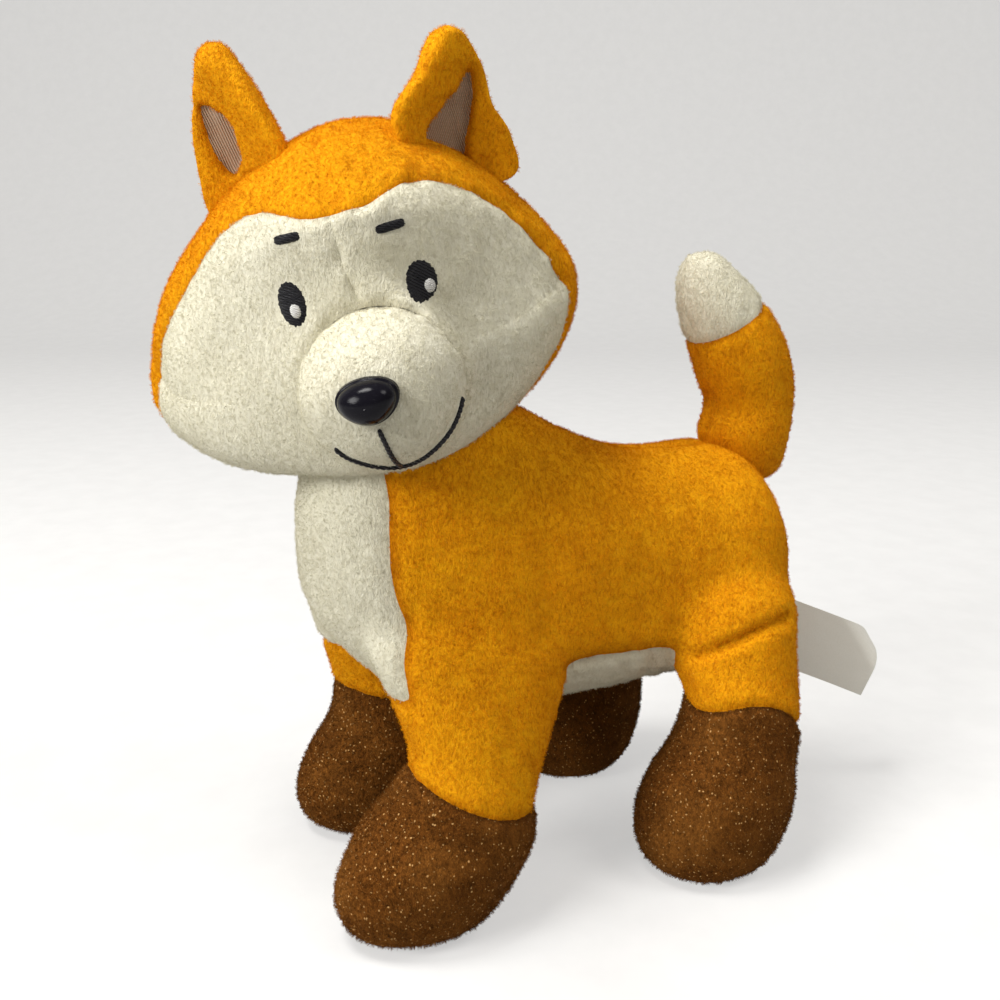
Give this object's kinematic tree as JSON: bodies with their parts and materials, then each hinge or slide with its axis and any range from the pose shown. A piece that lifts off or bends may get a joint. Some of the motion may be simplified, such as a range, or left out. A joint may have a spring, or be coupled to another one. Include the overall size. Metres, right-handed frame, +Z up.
{
  "type": "plush fox toy",
  "caption": "Small standing stuffed fox with sewn plush panels, head turned to its left, snap-in nose, embroidered face, cupped ears, upright tail and a blank fabric label.",
  "frame": {"origin": "on the floor, under the centre of the bounding box", "axes": "+Z up; the body faces -Y and its left flank is on +X; the head looks to the left"},
  "size_m": [0.0882, 0.1734, 0.1792],
  "materials": {
    "orange_plush": "short-nap orange plush",
    "white_plush": "short-nap off-white plush",
    "brown_plush": "short-nap dark brown plush",
    "tan_satin": "tan satin with a fine rib",
    "fibre": "polyester fibre filling",
    "black_plastic": "glossy black moulded plastic",
    "clear_plastic": "milky plastic, hidden in the muzzle",
    "black_thread": "black satin-stitch embroidery",
    "white_thread": "white satin-stitch embroidery",
    "label_satin": "white woven satin tape, left blank"
  },
  "bodies": {
    "torso": {"body_filling": "fibre", "chest_and_belly_panel": "white_plush", "left_flank": "orange_plush", "right_flank": "orange_plush", "left_front_leg_filling": "fibre", "left_front_leg": "orange_plush", "left_front_paw": "brown_plush", "right_front_leg_filling": "fibre", "right_front_leg": "orange_plush", "right_front_paw": "brown_plush", "left_hind_leg_filling": "fibre", "left_hind_leg": "orange_plush", "left_hind_paw": "brown_plush", "right_hind_leg_filling": "fibre", "right_hind_leg": "orange_plush", "right_hind_paw": "brown_plush"},
    "head": {"head_filling": "fibre", "muzzle": "white_plush", "left_face": "white_plush", "right_face": "white_plush", "hood": "orange_plush", "nose": "black_plastic", "nose_washer": "clear_plastic", "left_eye": "black_thread", "left_eye_glint": "white_thread", "right_eye": "black_thread", "right_eye_glint": "white_thread", "left_brow": "black_thread", "right_brow": "black_thread", "mouth": "black_thread"},
    "left_ear": {"left_ear_filling": "fibre", "left_ear": "orange_plush", "left_ear_lining": "tan_satin"},
    "right_ear": {"right_ear_filling": "fibre", "right_ear": "orange_plush", "right_ear_lining": "tan_satin"},
    "tail": {"tail_filling": "fibre", "tail": "orange_plush", "tail_tip": "white_plush"},
    "label": {"label": "label_satin"}
  },
  "joints": [
    {"name": "head_turn", "type": "hinge", "parent": "torso", "child": "head", "pos_m": [-0.00166, -0.04313, 0.108], "axis": [0, 0, 1], "range_deg": [-15, 15], "stiffness_Nm_per_rad": 0.12},
    {"name": "left_ear_flex", "type": "hinge", "parent": "head", "child": "left_ear", "pos_m": [0.00556, -0.03191, 0.15591], "axis": [-0.1551, 0.9805, 0.1208], "range_deg": [-15, 15], "stiffness_Nm_per_rad": 0.003},
    {"name": "right_ear_flex", "type": "hinge", "parent": "head", "child": "right_ear", "pos_m": [-0.01108, -0.06701, 0.15173], "axis": [0.8634, 0.4778, 0.1622], "range_deg": [-15, 15], "stiffness_Nm_per_rad": 0.003},
    {"name": "tail_sway", "type": "hinge", "parent": "torso", "child": "tail", "pos_m": [-0.00166, 0.04426, 0.092], "axis": [0, 1, 0], "range_deg": [-15, 15], "stiffness_Nm_per_rad": 0.02},
    {"name": "label_swing", "type": "hinge", "parent": "torso", "child": "label", "pos_m": [-0.00166, 0.0386, 0.047], "axis": [0, 0, 1], "range_deg": [-20, 20], "stiffness_Nm_per_rad": 0.0002}
  ]
}
